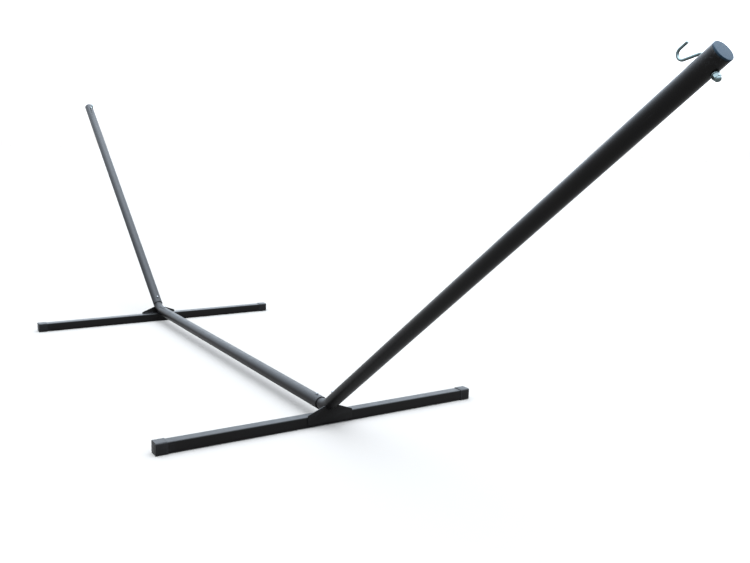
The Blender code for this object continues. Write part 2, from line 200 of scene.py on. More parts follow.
class Shell:
    """Rings of points joined to faces, with a wear value for each point."""

    def __init__(self):
        self.points, self.faces, self.wear = [], [], []

    def ring(self, points, wear=0.0):
        start = len(self.points)
        self.points += [tuple(point) for point in points]
        self.wear += [wear] * len(points)
        return list(range(start, len(self.points)))

    def bridge(self, one, other):
        for i in range(len(one)):
            j = (i + 1) % len(one)
            self.faces.append((one[i], one[j], other[j], other[i]))

    def fan(self, ring, centre, wear=0.0):
        middle = self.ring([centre], wear)[0]
        for i in range(len(ring)):
            self.faces.append((ring[i], ring[(i + 1) % len(ring)], middle))

    def chain(self, rings, closed_loop=False):
        for one, other in zip(rings, rings[1:]):
            self.bridge(one, other)
        if closed_loop:
            self.bridge(rings[-1], rings[0])

    def mesh(self, name, sharp=40):
        mesh = bpy.data.meshes.new(name)
        mesh.from_pydata(self.points, [], self.faces)
        wear = mesh.attributes.new("wear", "FLOAT", "POINT")
        wear.data.foreach_set("value", np.array(self.wear, np.float32))
        return finished(mesh, sharp)


def finished(mesh, sharp):
    """The mesh with its faces turned outwards, smooth but for edges sharper than an angle in degrees."""
    bm = bmesh.new()
    bm.from_mesh(mesh)
    bmesh.ops.recalc_face_normals(bm, faces=bm.faces[:])
    bm.to_mesh(mesh)
    bm.free()
    mesh.shade_smooth()
    mesh.set_sharp_from_angle(angle=math.radians(sharp))
    return mesh


def circle(centre, way, radius, sides, side_way=Y):
    """Points round a direction, starting at side_way."""
    up = side_way.cross(way).normalized()
    turns = [2 * math.pi * i / sides for i in range(sides)]
    return [centre + radius * (math.cos(t) * side_way + math.sin(t) * up) for t in turns]


def rim_profile(length, outer, inner):
    """(x, radius, wear) round a tube's wall, with rolled rims, from its near end back to it."""
    rim = TUBE_RIM
    near = [
        (0.0, outer - rim, 1.0),
        (rim * 0.13, outer - rim * 0.5, 1.0),
        (rim * 0.5, outer - rim * 0.13, 1.0),
        (rim, outer, 1.0),
    ]
    body = [(0.004, outer, 0.8), (0.018, outer, 0.45), (WORN_LENGTH, outer, 0.0)]
    outside = near + body + [(length - x, r, w) for x, r, w in reversed(near + body)]
    lip = inner + rim * 0.6
    inside = [(length, lip, 0.6), (length - rim, inner, 0.3), (rim, inner, 0.3), (0.0, lip, 0.6)]
    return outside + inside


def straight_tube(name, length, sides=112):
    """A length of the beam's and arms' tube, along X from the origin."""
    shell = Shell()
    profile = rim_profile(length, TUBE_R, TUBE_INNER_R)
    rings = [shell.ring(circle(X * x, X, radius, sides), wear) for x, radius, wear in profile]
    shell.chain(rings, closed_loop=True)
    return shell.mesh(name)


def turned(profile, sides):
    """Spins (radius, z) about Z. The profile starts and ends on the axis, or else it is a loop."""
    shell = Shell()
    is_loop = profile[0][0] > 0
    inner = profile if is_loop else profile[1:-1]
    rings = [shell.ring(circle(Z * z, Z, radius, sides, X)) for radius, z in inner]
    shell.chain(rings, closed_loop=is_loop)
    if not is_loop:
        shell.fan(rings[0], Z * profile[0][1])
        shell.fan(rings[-1], Z * profile[-1][1])
    return shell


def fillet(start, corner, end, steps=4):
    """Points of a quarter round between two points of a profile, bulging to the corner."""
    found = []
    for step in range(steps + 1):
        t = step / steps
        a, middle, b = (1 - t) ** 2, 2 * t * (1 - t), t**2
        found.append(tuple(a * p + middle * q + b * r for p, q, r in zip(start, corner, end)))
    return found


def bar(radius, low, high, sides=48):
    """A round bar along Z that cuts a hole."""
    shell = Shell()
    rings = [shell.ring(circle(Z * z, Z, radius, sides, X)) for z in (low, high)]
    shell.chain(rings)
    shell.fan(rings[0], Z * low)
    shell.fan(rings[1], Z * high)
    return shell.mesh("cutter")


def cut_out(mesh, cutters):
    """The mesh less the cutters, each a (mesh, matrix) in the same frame as the mesh."""
    piece = bpy.data.objects.new("cut_piece", mesh)
    bpy.context.scene.collection.objects.link(piece)
    helpers = []
    for cutter, matrix in cutters:
        helper = bpy.data.objects.new("cut_helper", cutter)
        helper.matrix_world = matrix
        bpy.context.scene.collection.objects.link(helper)
        helpers.append(helper)
        boolean = piece.modifiers.new("cut", "BOOLEAN")
        boolean.operation = "DIFFERENCE"
        boolean.object = helper
    bpy.context.view_layer.update()
    graph = bpy.context.evaluated_depsgraph_get()
    result = bpy.data.meshes.new_from_object(piece.evaluated_get(graph))
    for helper in helpers + [piece]:
        bpy.data.objects.remove(helper)
    return finished(result, 30)


def upright_at(x):
    """A place along X, for a piece that stands on Z."""
    return Matrix.Translation(X * x)


def place(name, mesh, matrix, material, body="frame", replaces=()):
    """Puts a piece in the scene. It keeps the places in its own frame, for its material's pattern."""
    own = np.zeros(len(mesh.vertices) * 3, np.float32)
    mesh.vertices.foreach_get("co", own)
    mesh.attributes.new("own_place", "FLOAT_VECTOR", "POINT").data.foreach_set("vector", own)
    mesh.transform(matrix)
    mesh.materials.clear()
    mesh.materials.append(material)
    piece = bpy.data.objects.new(name, mesh)
    bpy.context.scene.collection.objects.link(piece)
    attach(piece, body)
    if replaces:
        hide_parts(*replaces)
    return piece


# --- Materials ---


class Finish:
    """Short names for the nodes of one material."""

    def __init__(self, slot, **constants):
        self.material = bpy.data.materials.new(slot + FINISH_NAME)
        self.material.use_nodes = True
        self.tree = self.material.node_tree
        self.shader = self.tree.nodes["Principled BSDF"]
        for key, value in constants.items():
            self.shader.inputs[key.replace("_", " ")].default_value = value
        own_place = self.node("ShaderNodeAttribute", attribute_name="own_place")
        self.place = own_place.outputs["Vector"]
        self.random = self.node("ShaderNodeObjectInfo").outputs["Random"]

    def node(self, kind, **settings):
        node = self.tree.nodes.new(kind)
        for key, value in settings.items():
            setattr(node, key, value)
        return node

    def link(self, value, socket):
        if isinstance(value, bpy.types.NodeSocket):
            self.tree.links.new(value, socket)
        else:
            socket.default_value = value

    def noise(self, scale, detail=3.0, rough=0.5, stretch=(1, 1, 1), shift=0.0):
        mapping = self.node("ShaderNodeMapping")
        mapping.inputs["Scale"].default_value = stretch
        self.link(self.place, mapping.inputs["Vector"])
        noise = self.node("ShaderNodeTexNoise", noise_dimensions="4D")
        self.link(mapping.outputs[0], noise.inputs["Vector"])
        self.link(self.math("MULTIPLY_ADD", self.random, 9.0, shift), noise.inputs["W"])
        noise.inputs["Scale"].default_value = scale
        noise.inputs["Detail"].default_value = detail
        noise.inputs["Roughness"].default_value = rough
        return noise.outputs["Fac"]

    def cells(self, scale, output="Distance"):
        cells = self.node("ShaderNodeTexVoronoi")
        self.link(self.place, cells.inputs["Vector"])
        cells.inputs["Scale"].default_value = scale
        return cells.outputs[output]

    def math(self, operation, *values):
        node = self.node("ShaderNodeMath", operation=operation)
        for value, socket in zip(values, node.inputs):
            self.link(value, socket)
        return node.outputs[0]

    def span(self, value, low, high):
        """0 at low and 1 at high, smoothly between them."""
        node = self.node("ShaderNodeMapRange", interpolation_type="SMOOTHSTEP")
        for item, socket in zip((value, low, high), node.inputs):
            self.link(item, socket)
        return node.outputs[0]

    def mix(self, share, one, other):
        node = self.node("ShaderNodeMix", data_type="RGBA")
        self.link(share, node.inputs["Factor"])
        colours = [socket for socket in node.inputs if socket.type == "RGBA"]
        for value, socket in zip((one, other), colours):
            self.link((*value, 1.0) if isinstance(value, tuple) else value, socket)
        return next(socket for socket in node.outputs if socket.type == "RGBA")

    def facing_up(self):
        """1 on surfaces that face up, 0 on the others."""
        split = self.node("ShaderNodeSeparateXYZ")
        self.link(self.node("ShaderNodeNewGeometry").outputs["Normal"], split.inputs[0])
        return self.span(split.outputs["Z"], 0.25, 1.0)

    def wear(self):
        """The mesh's own wear value: 1 at a rim, 0 where nothing rubs."""
        return self.node("ShaderNodeAttribute", attribute_name="wear").outputs["Fac"]

    def edges(self, low=0.52, high=0.60):
        """1 on raised edges, 0 on flats."""
        return self.span(self.node("ShaderNodeNewGeometry").outputs["Pointiness"], low, high)

    def bump(self, layers):
        """Layers of (height, strength, distance), the coarsest first."""
        normal = None
        for height, strength, distance in layers:
            bump = self.node("ShaderNodeBump")
            bump.inputs["Strength"].default_value = strength
            bump.inputs["Distance"].default_value = distance
            self.link(height, bump.inputs["Height"])
            if normal is not None:
                self.link(normal, bump.inputs["Normal"])
            normal = bump.outputs["Normal"]
        self.link(normal, self.shader.inputs["Normal"])

    def end(self, colour, roughness, bump):
        """The material, with its colour, roughness and bump layers joined to the shader."""
        self.link(colour, self.shader.inputs["Base Color"])
        self.link(roughness, self.shader.inputs["Roughness"])
        self.bump(bump)
        return self.material


def powder_coat():
    """Semi-gloss black powder coat: orange peel, a little dust on top, rubbed edges and fine scratches."""
    f = Finish("powder_coat", Specular_IOR_Level=0.085, IOR=1.5)
    broad = f.noise(5.0, 4.0)
    cloud = f.noise(38.0, 5.0, 0.6, shift=3.0)
    streak = f.noise(7.0, 5.0, 0.65, stretch=(0.6, 60, 60), shift=7.0)
    scratch = f.span(streak, 0.665, 0.70)
    dust = f.math("MULTIPLY", f.facing_up(), f.span(cloud, 0.35, 0.75))
    rub = f.math("MULTIPLY", f.wear(), f.span(f.noise(210.0, 6.0, 0.7, shift=5.0), 0.50, 0.66))
    fleck = f.math("MULTIPLY", f.span(f.cells(420.0), 0.10, 0.04), f.span(cloud, 0.55, 0.7))
    black, worn_black = (0.0013, 0.0011, 0.0010), (0.0025, 0.0022, 0.0020)
    dust_grey, scratch_grey = (0.034, 0.036, 0.038), (0.026, 0.027, 0.028)
    fleck_grey, rub_grey = (0.022, 0.023, 0.024), (0.017, 0.018, 0.019)
    colour = f.mix(broad, black, worn_black)
    colour = f.mix(f.math("MULTIPLY", dust, 0.10), colour, dust_grey)
    colour = f.mix(f.math("MULTIPLY", scratch, 0.22), colour, scratch_grey)
    colour = f.mix(f.math("MULTIPLY", fleck, 0.30), colour, fleck_grey)
    colour = f.mix(f.math("MULTIPLY", rub, 0.55), colour, rub_grey)
    rough = f.math("MULTIPLY_ADD", cloud, 0.12, 0.27)
    rough = f.math("MULTIPLY_ADD", dust, 0.12, rough)
    rough = f.math("MULTIPLY_ADD", f.math("MAXIMUM", rub, scratch), 0.18, rough)
    peel = f.noise(520.0, 2.0, 0.45, shift=1.0)
    grain = f.noise(2400.0, 2.0, 0.6, shift=2.0)
    layers = [(broad, 0.10, 0.001), (peel, 0.30, 0.00022), (grain, 0.18, 0.00006), (rub, -0.25, 0.0001)]
    return f.end(colour, rough, layers)


def cap_plastic():
    """Black moulded plastic with a fine spark texture, scuffed on its edges."""
    f = Finish("cap_plastic", Specular_IOR_Level=0.10, IOR=1.49)
    cloud = f.noise(60.0, 4.0, 0.6)
    scuff = f.math("MULTIPLY", f.edges(), f.span(f.noise(260.0, 5.0, 0.7, shift=4.0), 0.42, 0.62))
    streak = f.span(f.noise(14.0, 5.0, 0.6, stretch=(30, 1, 30), shift=6.0), 0.62, 0.72)
    dust = f.math("MULTIPLY", f.facing_up(), cloud)
    black, faded_black = (0.0018, 0.0017, 0.0017), (0.0033, 0.0031, 0.0030)
    dust_grey, streak_grey = (0.035, 0.036, 0.037), (0.022, 0.022, 0.023)
    scuff_grey = (0.030, 0.030, 0.031)
    colour = f.mix(cloud, black, faded_black)
    colour = f.mix(f.math("MULTIPLY", dust, 0.12), colour, dust_grey)
    colour = f.mix(f.math("MULTIPLY", streak, 0.16), colour, streak_grey)
    colour = f.mix(f.math("MULTIPLY", scuff, 0.60), colour, scuff_grey)
    rough = f.math("MULTIPLY_ADD", cloud, 0.14, 0.36)
    rough = f.math("MULTIPLY_ADD", scuff, 0.20, rough)
    grain = f.noise(1500.0, 3.0, 0.6, shift=2.0)
    return f.end(colour, rough, [(cloud, 0.08, 0.001), (grain, 0.35, 0.00012), (streak, -0.2, 0.0001)])


def plug_plastic():
    """Smooth blue-black moulded plastic with faint swirls and hairline marks."""
    f = Finish("plug_plastic", Specular_IOR_Level=0.06, IOR=1.49)
    cloud = f.noise(90.0, 4.0, 0.6)
    swirl = f.noise(30.0, 6.0, 0.7, stretch=(1, 3, 1), shift=5.0)
    hair = f.span(f.noise(24.0, 5.0, 0.65, stretch=(40, 1.5, 1), shift=8.0), 0.63, 0.70)
    scuff = f.math("MULTIPLY", f.edges(), f.span(f.noise(300.0, 5.0, 0.7, shift=4.0), 0.45, 0.65))
    deep_blue, pale_blue = (0.0028, 0.0078, 0.0125), (0.0055, 0.0125, 0.0195)
    hair_grey, scuff_grey = (0.040, 0.046, 0.052), (0.045, 0.048, 0.052)
    colour = f.mix(swirl, deep_blue, pale_blue)
    colour = f.mix(f.math("MULTIPLY", hair, 0.20), colour, hair_grey)
    colour = f.mix(f.math("MULTIPLY", scuff, 0.50), colour, scuff_grey)
    rough = f.math("MULTIPLY_ADD", cloud, 0.12, 0.48)
    rough = f.math("MULTIPLY_ADD", hair, 0.15, rough)
    grain = f.noise(1300.0, 2.0, 0.5, shift=2.0)
    return f.end(colour, rough, [(swirl, 0.10, 0.0006), (grain, 0.20, 0.00006), (hair, -0.3, 0.00006)])


def plated(name, dark, light, tint, rough_low, spangle):
    """Plated or bright steel: drawn lines, small crystals, a faint tint and painted shade that darkens its
    hollows.
    """
    f = Finish(name, Metallic=1.0)
    cloud = f.noise(120.0, 5.0, 0.65)
    crystal = f.cells(spangle, output="Color")
    drawn = f.noise(20.0, 4.0, 0.6, stretch=(40, 40, 2.0), shift=3.0)
    blotch = f.span(f.noise(70.0, 4.0, 0.6, shift=6.0), 0.42, 0.68)
    colour = f.mix(cloud, dark, light)
    colour = f.mix(f.math("MULTIPLY", blotch, 0.55), colour, tint)
    painted_shade_grey, rubbed = (0.02, 0.022, 0.022), (0.24, 0.26, 0.26)
    # Painted shade: hollows, found by low pointiness, are darkened towards a near-black grey as if in
    # shadow.
    hollow_shade = f.math("SUBTRACT", 1.0, f.edges(0.40, 0.50))
    colour = f.mix(f.math("MULTIPLY", hollow_shade, 0.45), colour, painted_shade_grey)
    colour = f.mix(f.math("MULTIPLY", f.edges(0.54, 0.64), 0.35), colour, rubbed)
    rough = f.math("MULTIPLY_ADD", cloud, 0.16, rough_low)
    rough = f.math("MULTIPLY_ADD", crystal, 0.10, rough)
    return f.end(colour, rough, [(drawn, 0.18, 0.0001), (crystal, 0.10, 0.00004), (cloud, 0.10, 0.0002)])


coat = powder_coat()
cap_black = cap_plastic()
plug_blue = plug_plastic()
zinc = plated(
    "zinc",
    dark=(0.045, 0.062, 0.062),
    light=(0.105, 0.125, 0.123),
    tint=(0.050, 0.085, 0.086),
    rough_low=0.22,
    spangle=700.0,
)
button_steel = plated(
    "button_steel",
    dark=(0.07, 0.07, 0.073),
    light=(0.12, 0.12, 0.123),
    tint=(0.08, 0.083, 0.09),
    rough_low=0.24,
    spangle=1100.0,
)
spring_steel = plated(
    "spring_steel",
    dark=(0.06, 0.06, 0.065),
    light=(0.11, 0.11, 0.115),
    tint=(0.07, 0.075, 0.095),
    rough_low=0.26,
    spangle=900.0,
)


# --- Beam and arms ---

BEAM_LENGTH = 2 * beam_end.x
ARM_START = (arm_foot - CORNER).dot(ARM)
BEAM_BUTTON_X = -(CORNER.x - beam_end.x) - BUTTON_FROM_END
ARM_BUTTON_X = ARM_START + BUTTON_FROM_END
button_bar = bar(BUTTON_D / 2 + BUTTON_CLEARANCE, 0.0, 2 * TUBE_R)
shank_bar = bar(WIRE_R + SHANK_CLEARANCE, -2 * TUBE_R, 2 * TUBE_R)


def beam_mesh():
    spots = (BUTTON_FROM_END, BEAM_LENGTH - BUTTON_FROM_END)
    tube = straight_tube("beam_tube", BEAM_LENGTH)
    return cut_out(tube, [(button_bar, upright_at(x)) for x in spots])


def arm_mesh():
    holes = [(button_bar, upright_at(BUTTON_FROM_END)), (shank_bar, upright_at(HOOK_S - ARM_START))]
    return cut_out(straight_tube("arm_tube", ARM_LENGTH), holes)


def elbow_path():
    """(centre, direction, wear) along the elbow, about its corner."""
    leg = (CORNER - elbow_beam_end).length
    reach = (elbow_arm_end - CORNER).length
    near_end = 0.004
    stations = [(X * -leg, X, 0.8), (X * (near_end - leg), X, 0.6)]
    steps = 26
    for step in range(steps + 1):
        t = ARM_ANGLE * step / steps
        centre = Vector((BEND_RADIUS * math.sin(t) - BEND_TANGENT, 0, BEND_RADIUS * (1 - math.cos(t))))
        stations.append((centre, Vector((math.cos(t), 0, math.sin(t))), 0.30))
    stations += [(ARM * (reach - near_end), ARM, 0.6), (ARM * reach, ARM, 0.8)]
    return stations


def elbow_mesh(sides=96):
    """The bent tube about its corner, with eased rims and a hole for each button."""
    shell = Shell()
    path = elbow_path()
    rim = ELBOW_RIM
    outside = [(rim, ELBOW_R), (rim * 0.3, ELBOW_R - rim * 0.3), (0, ELBOW_R - rim)]
    rim_spots = outside + [(0, ELBOW_INNER_R + rim), (rim, ELBOW_INNER_R)]
    outer = [shell.ring(circle(c, w, ELBOW_R, sides), v) for c, w, v in path[1:-1]]
    inner = [shell.ring(circle(c, w, ELBOW_INNER_R, sides), v) for c, w, v in path[1:-1]]
    ends = []
    for centre, way, value in (path[0], path[-1]):
        inwards = way if way == X else -way
        ends.append([shell.ring(circle(centre + inwards * x, way, r, sides), value) for x, r in rim_spots])
    shell.chain(ends[0][::-1] + outer + ends[1] + inner[::-1], closed_loop=True)
    tilt = Matrix.Rotation(-ARM_ANGLE, 4, "Y")
    holes = [(button_bar, upright_at(BEAM_BUTTON_X)), (button_bar, tilt @ upright_at(ARM_BUTTON_X))]
    return cut_out(shell.mesh("elbow"), holes)


# --- Feet and caps ---


def rounded_square(side, corner, y, steps=8):
    """Points round a square in XZ with rounded corners."""
    half = side / 2 - corner
    points = []
    for quarter in range(4):
        middle = math.radians(45 + 90 * quarter)
        centre = Vector((math.copysign(half, math.cos(middle)), y, math.copysign(half, math.sin(middle))))
        for step in range(steps + 1):
            t = math.radians(90) * (quarter + step / steps)
            points.append(centre + Vector((corner * math.cos(t), 0, corner * math.sin(t))))
    return points


def squares(profile, capped=False):
    """Joins rounded squares given as (side, corner, y, wear)."""
    shell = Shell()
    rings = [shell.ring(rounded_square(side, corner, y), wear) for side, corner, y, wear in profile]
    shell.chain(rings, closed_loop=not capped)
    if capped:
        shell.fan(rings[0], Y * profile[0][2])
        shell.fan(rings[-1], Y * profile[-1][2])
    return shell


def foot_mesh():
    half = (foot_high.y - foot_low.y) / 2
    rim = FOOT_RIM
    mouth = half - CAP_LENGTH
    unworn = mouth - 0.03
    outer = [(FOOT_SIDE - 2 * rim, FOOT_CORNER - rim, half, 1.0)]
    outer += [(FOOT_SIDE, FOOT_CORNER, y, w) for y, w in ((half - rim, 1.0), (mouth, 0.5), (unworn, 0.0))]
    profile = outer + [(s, c, -y, w) for s, c, y, w in reversed(outer)]
    inner = FOOT_SIDE - 2 * FOOT_WALL
    profile += [(inner, FOOT_CORNER - FOOT_WALL, y, 0.2) for y in (-half, half)]
    return squares(profile).mesh("foot")


def cap_mesh():
    """A moulded cup with its closed end on the XZ plane and its mouth towards -Y."""
    cavity = FOOT_SIDE + 2 * GAP
    cavity_corner = FOOT_CORNER + GAP
    corner = cavity_corner + (CAP_SIDE - cavity) / 2
    # The gate mark in the middle of the end, then the groove round its panel.
    profile = [(0.0030, 0.0010, -0.0006, 0.0), (0.0042, 0.0015, -0.0001, 0.0), (0.0070, 0.0020, 0.0, 0.0)]
    panel = CAP_SIDE - CAP_PANEL_MARGIN
    groove = [(-0.0010, 0.0032, 0.0), (-0.0004, 0.0030, -CAP_GROOVE)]
    groove += [(0.0004, 0.0028, -CAP_GROOVE), (0.0010, 0.0026, 0.0)]
    profile += [(panel + more, corner - off, y, 0.0) for more, off, y in groove]
    for step in range(6):
        t = math.radians(90) * step / 5
        inset = CAP_ROUND_OVER * (1 - math.sin(t))
        profile.append((CAP_SIDE - 2 * inset, corner - inset, -CAP_ROUND_OVER * (1 - math.cos(t)), 0.8))
    # The groove behind the lip and the lip, with y from the mouth, then the cavity.
    outside = [(0.0, 0.0, CAP_LIP, 0.2), (0.0006, 0.0003, 0.0041, 0.2), (0.0006, 0.0003, 0.0034, 0.2)]
    outside += [(0.0, 0.0, 0.0030, 0.4), (0.0, 0.0, 0.0005, 0.6), (0.0008, 0.0004, 0.0, 0.8)]
    profile += [(CAP_SIDE - less, corner - off, y - CAP_LENGTH, wear) for less, off, y, wear in outside]
    profile += [(cavity + 0.0005, cavity_corner, -CAP_LENGTH, 0.4)]
    profile += [(cavity, cavity_corner, 0.0004 - CAP_LENGTH, 0.0), (cavity, cavity_corner, -CAP_END, 0.0)]
    return squares(profile, capped=True).mesh("cap")


# --- Gusset plates and welds ---


def gusset_mesh():
    """The plate in the end's own frame, with its edges eased and the elbow's notch cut out."""
    points = points_of("gusset_plate_right")
    outer = points[np.abs(points[:, 1]) > plate_high.y - 1e-4]
    shoulder = outer[:, 2].max()
    outline = [
        (plate_low.y, plate_low.z),
        (plate_high.y, plate_low.z),
        (plate_high.y, shoulder),
        (ELBOW_R, plate_high.z),
        (-ELBOW_R, plate_high.z),
        (plate_low.y, shoulder),
    ]
    mesh = bpy.data.meshes.new("gusset")
    bm = bmesh.new()
    bm.faces.new([bm.verts.new((plate_low.x, y, z)) for y, z in outline])
    corners = [v for v in bm.verts if abs(abs(v.co.y) - plate_high.y) < 1e-5]
    bmesh.ops.bevel(bm, geom=corners, offset=0.0035, segments=5, affect="VERTICES", profile=0.5)
    grown = bmesh.ops.extrude_face_region(bm, geom=bm.faces[:])
    moved = [item for item in grown["geom"] if isinstance(item, bmesh.types.BMVert)]
    bmesh.ops.translate(bm, verts=moved, vec=X * (plate_high.x - plate_low.x))
    bmesh.ops.recalc_face_normals(bm, faces=bm.faces[:])
    flats = [e for e in bm.edges if e.calc_face_angle(0) > math.radians(60)]
    bmesh.ops.bevel(bm, geom=flats, offset=0.00045, segments=2, affect="EDGES", profile=0.5)
    bm.to_mesh(mesh)
    bm.free()
    wear = mesh.attributes.new("wear", "FLOAT", "POINT")
    wear.data.foreach_set("value", np.full(len(mesh.vertices), 0.25, np.float32))
    shell = Shell()
    path = elbow_path()
    rings = [shell.ring(circle(CORNER + centre, way, ELBOW_R + GAP, 96)) for centre, way, _ in path]
    shell.chain(rings)
    shell.fan(rings[0], CORNER + path[0][0])
    shell.fan(rings[-1], CORNER + path[-1][0])
    return cut_out(mesh, [(shell.mesh("notch"), IDENTITY)])


def bead(shell, path, leans, size, closed=False, seed=0.0):
    """A rippled weld bead along a path. Each lean is the direction that the bead bulges in at its point."""
    count = len(path)
    ripple = 0.0021
    travelled = 0.0
    rings = []
    for i, point in enumerate(path):
        ahead = path[(i + 1) % count] if closed or i < count - 1 else point
        behind = path[i - 1] if closed or i > 0 else point
        way = (ahead - behind).normalized()
        if i:
            travelled += (point - path[i - 1]).length
        lean = (leans[i] - way * leans[i].dot(way)).normalized()
        side = way.cross(lean)
        phase = travelled / ripple + 0.25 * math.sin(travelled * 310 + seed)
        swell = 1 + 0.13 * abs(math.sin(math.pi * phase)) + 0.07 * math.sin(travelled * 520 + seed * 3)
        taper = 1.0
        if not closed:
            into = min(i, count - 1 - i) / 4
            taper = min(1.0, 0.35 + 0.65 * math.sqrt(min(into, 1.0)))
        ring = []
        for step in range(BEAD_SIDES):
            t = 2 * math.pi * step / BEAD_SIDES
            lag = 0.0007 * math.cos(t)
            out = math.cos(t) * lean + math.sin(t) * side
            ring.append(point + size * swell * taper * out - way * lag)
        rings.append(shell.ring(ring, 0.35))
    shell.chain(rings, closed_loop=closed)
    if not closed:
        shell.fan(rings[0], path[0], 0.35)
        shell.fan(rings[-1], path[-1], 0.35)


def foot_profile(u, off):
    """A point off the foot's section and its way out: by the inner face for u < 0, the top for u > 0."""
    corner_x, corner_z = foot_low.x + FOOT_CORNER, foot_high.z - FOOT_CORNER
    radius = FOOT_CORNER + off
    quarter = radius * math.pi / 2
    if u < -quarter / 2:
        return Vector((corner_x - radius, 0, corner_z + u + quarter / 2)), -X
    if u > quarter / 2:
        return Vector((corner_x + u - quarter / 2, 0, corner_z + radius)), Z
    t = math.pi * 3 / 4 - u / radius
    way = Vector((math.cos(t), 0, math.sin(t)))
    return Vector((corner_x, 0, corner_z)) + way * radius, way


def saddle_path(off=0.0009, steps=30):
    """The closed line round the elbow's seat, where it lies the same distance from elbow and foot."""
    line = Vector((BEND_CENTRE.x, 0, BEND_CENTRE.z))

    def line_distance(u):
        return (foot_profile(u, off)[0] - line).length

    start = min((i * 0.0001 for i in range(-60, 60)), key=line_distance)
    closest = line_distance(start) - BEND_RADIUS
    widest = math.sqrt(max((ELBOW_R + off) ** 2 - closest**2, 0)) * 0.999

    def crossing(y, sign):
        goal = BEND_RADIUS + math.sqrt((ELBOW_R + off) ** 2 - y * y)
        low, high = 0.0, 0.030
        for _ in range(40):
            middle = (low + high) / 2
            if line_distance(start + sign * middle) < goal:
                low = middle
            else:
                high = middle
        return foot_profile(start + sign * low, off)

    points, leans = [], []
    for i in range(2 * steps):
        t = math.pi * (i + 0.5) / steps
        y = widest * math.sin(t)
        spot, way = crossing(y, 1 if math.cos(t) > 0 else -1)
        points.append(spot + Y * y)
        leans.append((way + Y * math.sin(t) + X * 0.7 * math.cos(t)).normalized())
    return points, leans


def notch_path(plane_x, off, sign, steps=46):
    """The line where the elbow leaves a face of the gusset plate."""
    points, leans = [], []
    for i in range(steps + 1):
        t = math.radians(-100 + 200 * i / steps)
        radius = BEND_RADIUS + (ELBOW_R + off) * math.cos(t)
        z = BEND_CENTRE.z - math.sqrt(radius**2 - (plane_x - BEND_CENTRE.x) ** 2)
        if z > plate_high.z - 0.0005:
            continue
        points.append(Vector((plane_x + sign * off, (ELBOW_R + off) * math.sin(t), z)))
        leans.append(Vector((sign, 0.8 * math.sin(t), -0.8 * math.cos(t))).normalized())
    return points, leans


def weld_mesh():
    """The beads round the elbow's seat, along the plate's notch and in stitches along the plate."""
    shell = Shell()
    points, leans = saddle_path()
    bead(shell, points, leans, SEAT_BEAD_R, closed=True)
    for plane_x, sign in ((plate_high.x, 1), (plate_low.x, -1)):
        bead(shell, *notch_path(plane_x, 0.0006, sign), NOTCH_BEAD_R, seed=sign)
    top_lean, low_lean = Vector((-1, 0, 1)).normalized(), Vector((1, 0, -1)).normalized()
    for middle in STITCH_MIDDLES:
        line = [middle + STITCH_STEP * i for i in range(-STITCH_HALF_STEPS, STITCH_HALF_STEPS + 1)]
        top = [Vector((plate_low.x - 0.0007, y, foot_high.z + 0.0006)) for y in line]
        bead(shell, top, [top_lean] * len(top), STITCH_TOP_R, seed=middle * 90)
        low = [Vector((foot_high.x + 0.0007, y, plate_low.z - 0.0005)) for y in line]
        bead(shell, low, [low_lean] * len(low), STITCH_LOW_R, seed=middle * 50)
    return shell.mesh("weld", 60)


# --- Hook bolt, washer, nut, plug ---


def thread_offset(z, turn):
    """How far a thread's surface lies below its crest, at a height and a turn about its axis."""
    phase = (z / THREAD_PITCH - turn / (2 * math.pi)) % 1.0
    return THREAD_DEPTH * min(1.0, max(0.0, (abs(phase - 0.5) * 2 - 0.10) / 0.75))


def arc(start, way, radius, turn, steps):
    """(point, direction) along a bend in XZ, after its start."""
    side = Vector((-way.z, 0, way.x)) * math.copysign(1, turn)
    centre = start + side * radius
    found = []
    for step in range(1, steps + 1):
        t = abs(turn) * step / steps
        point = centre - side * radius * math.cos(t) + way * radius * math.sin(t)
        found.append((point, way * math.cos(t) + side * math.sin(t)))
    return found


def hook_mesh(sides=36):
    """The bolt in its arm's frame: its shank is on Z and its bowl lies towards -X."""
    shell = Shell()
    knee_start = Z * TUBE_INNER_R
    knee = arc(knee_start, Z, KNEE_RADIUS, KNEE_TURN, 14)
    run_start, run_way = knee[-1]
    bowl_start = run_start + run_way * HOOK_RUN
    bowl = arc(bowl_start, run_way, BOWL_RADIUS, -BOWL_TURN, 30)
    tip_start, tip_way = bowl[-1]
    tip_end = tip_start + tip_way * HOOK_TIP
    rings = []
    low = NUT_TOP - SHANK_GRIP
    chamfer = 0.0008
    steps = int(THREADED_LENGTH / (THREAD_PITCH / 9))
    for i in range(steps + 1):
        z = low + THREADED_LENGTH * i / steps
        fade = min(1.0, (steps - i) / 12)
        start = min(WIRE_R, WIRE_R - chamfer + 0.9 * (z - low))
        ring = []
        for side in range(sides):
            turn = 2 * math.pi * side / sides
            radius = min(start, WIRE_R - fade * thread_offset(z, turn))
            ring.append((radius * math.cos(turn), radius * math.sin(turn), z))
        rings.append(shell.ring(ring, 0.2))

    def wire(point, way, radius, wear=0.2):
        up = Y.cross(way).normalized()
        turns = [2 * math.pi * i / sides for i in range(sides)]
        return shell.ring([point + radius * (math.cos(t) * up + math.sin(t) * Y) for t in turns], wear)

    path = [(Z * (low + THREADED_LENGTH + 0.001), Z), (knee_start, Z)] + knee
    path += [(run_start + run_way * HOOK_RUN * i / 4, run_way) for i in range(1, 5)]
    path += bowl + [(tip_start + tip_way * HOOK_TIP * 0.5, tip_way)]
    rings += [wire(point, way, WIRE_R) for point, way in path]
    for step in range(6):
        t = math.radians(90) * step / 6
        point = tip_end + tip_way * HOOK_TIP_ROUND * (math.sin(t) - 1)
        rings.append(wire(point, tip_way, WIRE_R - HOOK_TIP_ROUND * (1 - math.cos(t)), 1.0))
    shell.chain(rings)
    shell.fan(rings[0], Z * low)
    shell.fan(rings[-1], tip_end)
    return shell.mesh("hook", 60)


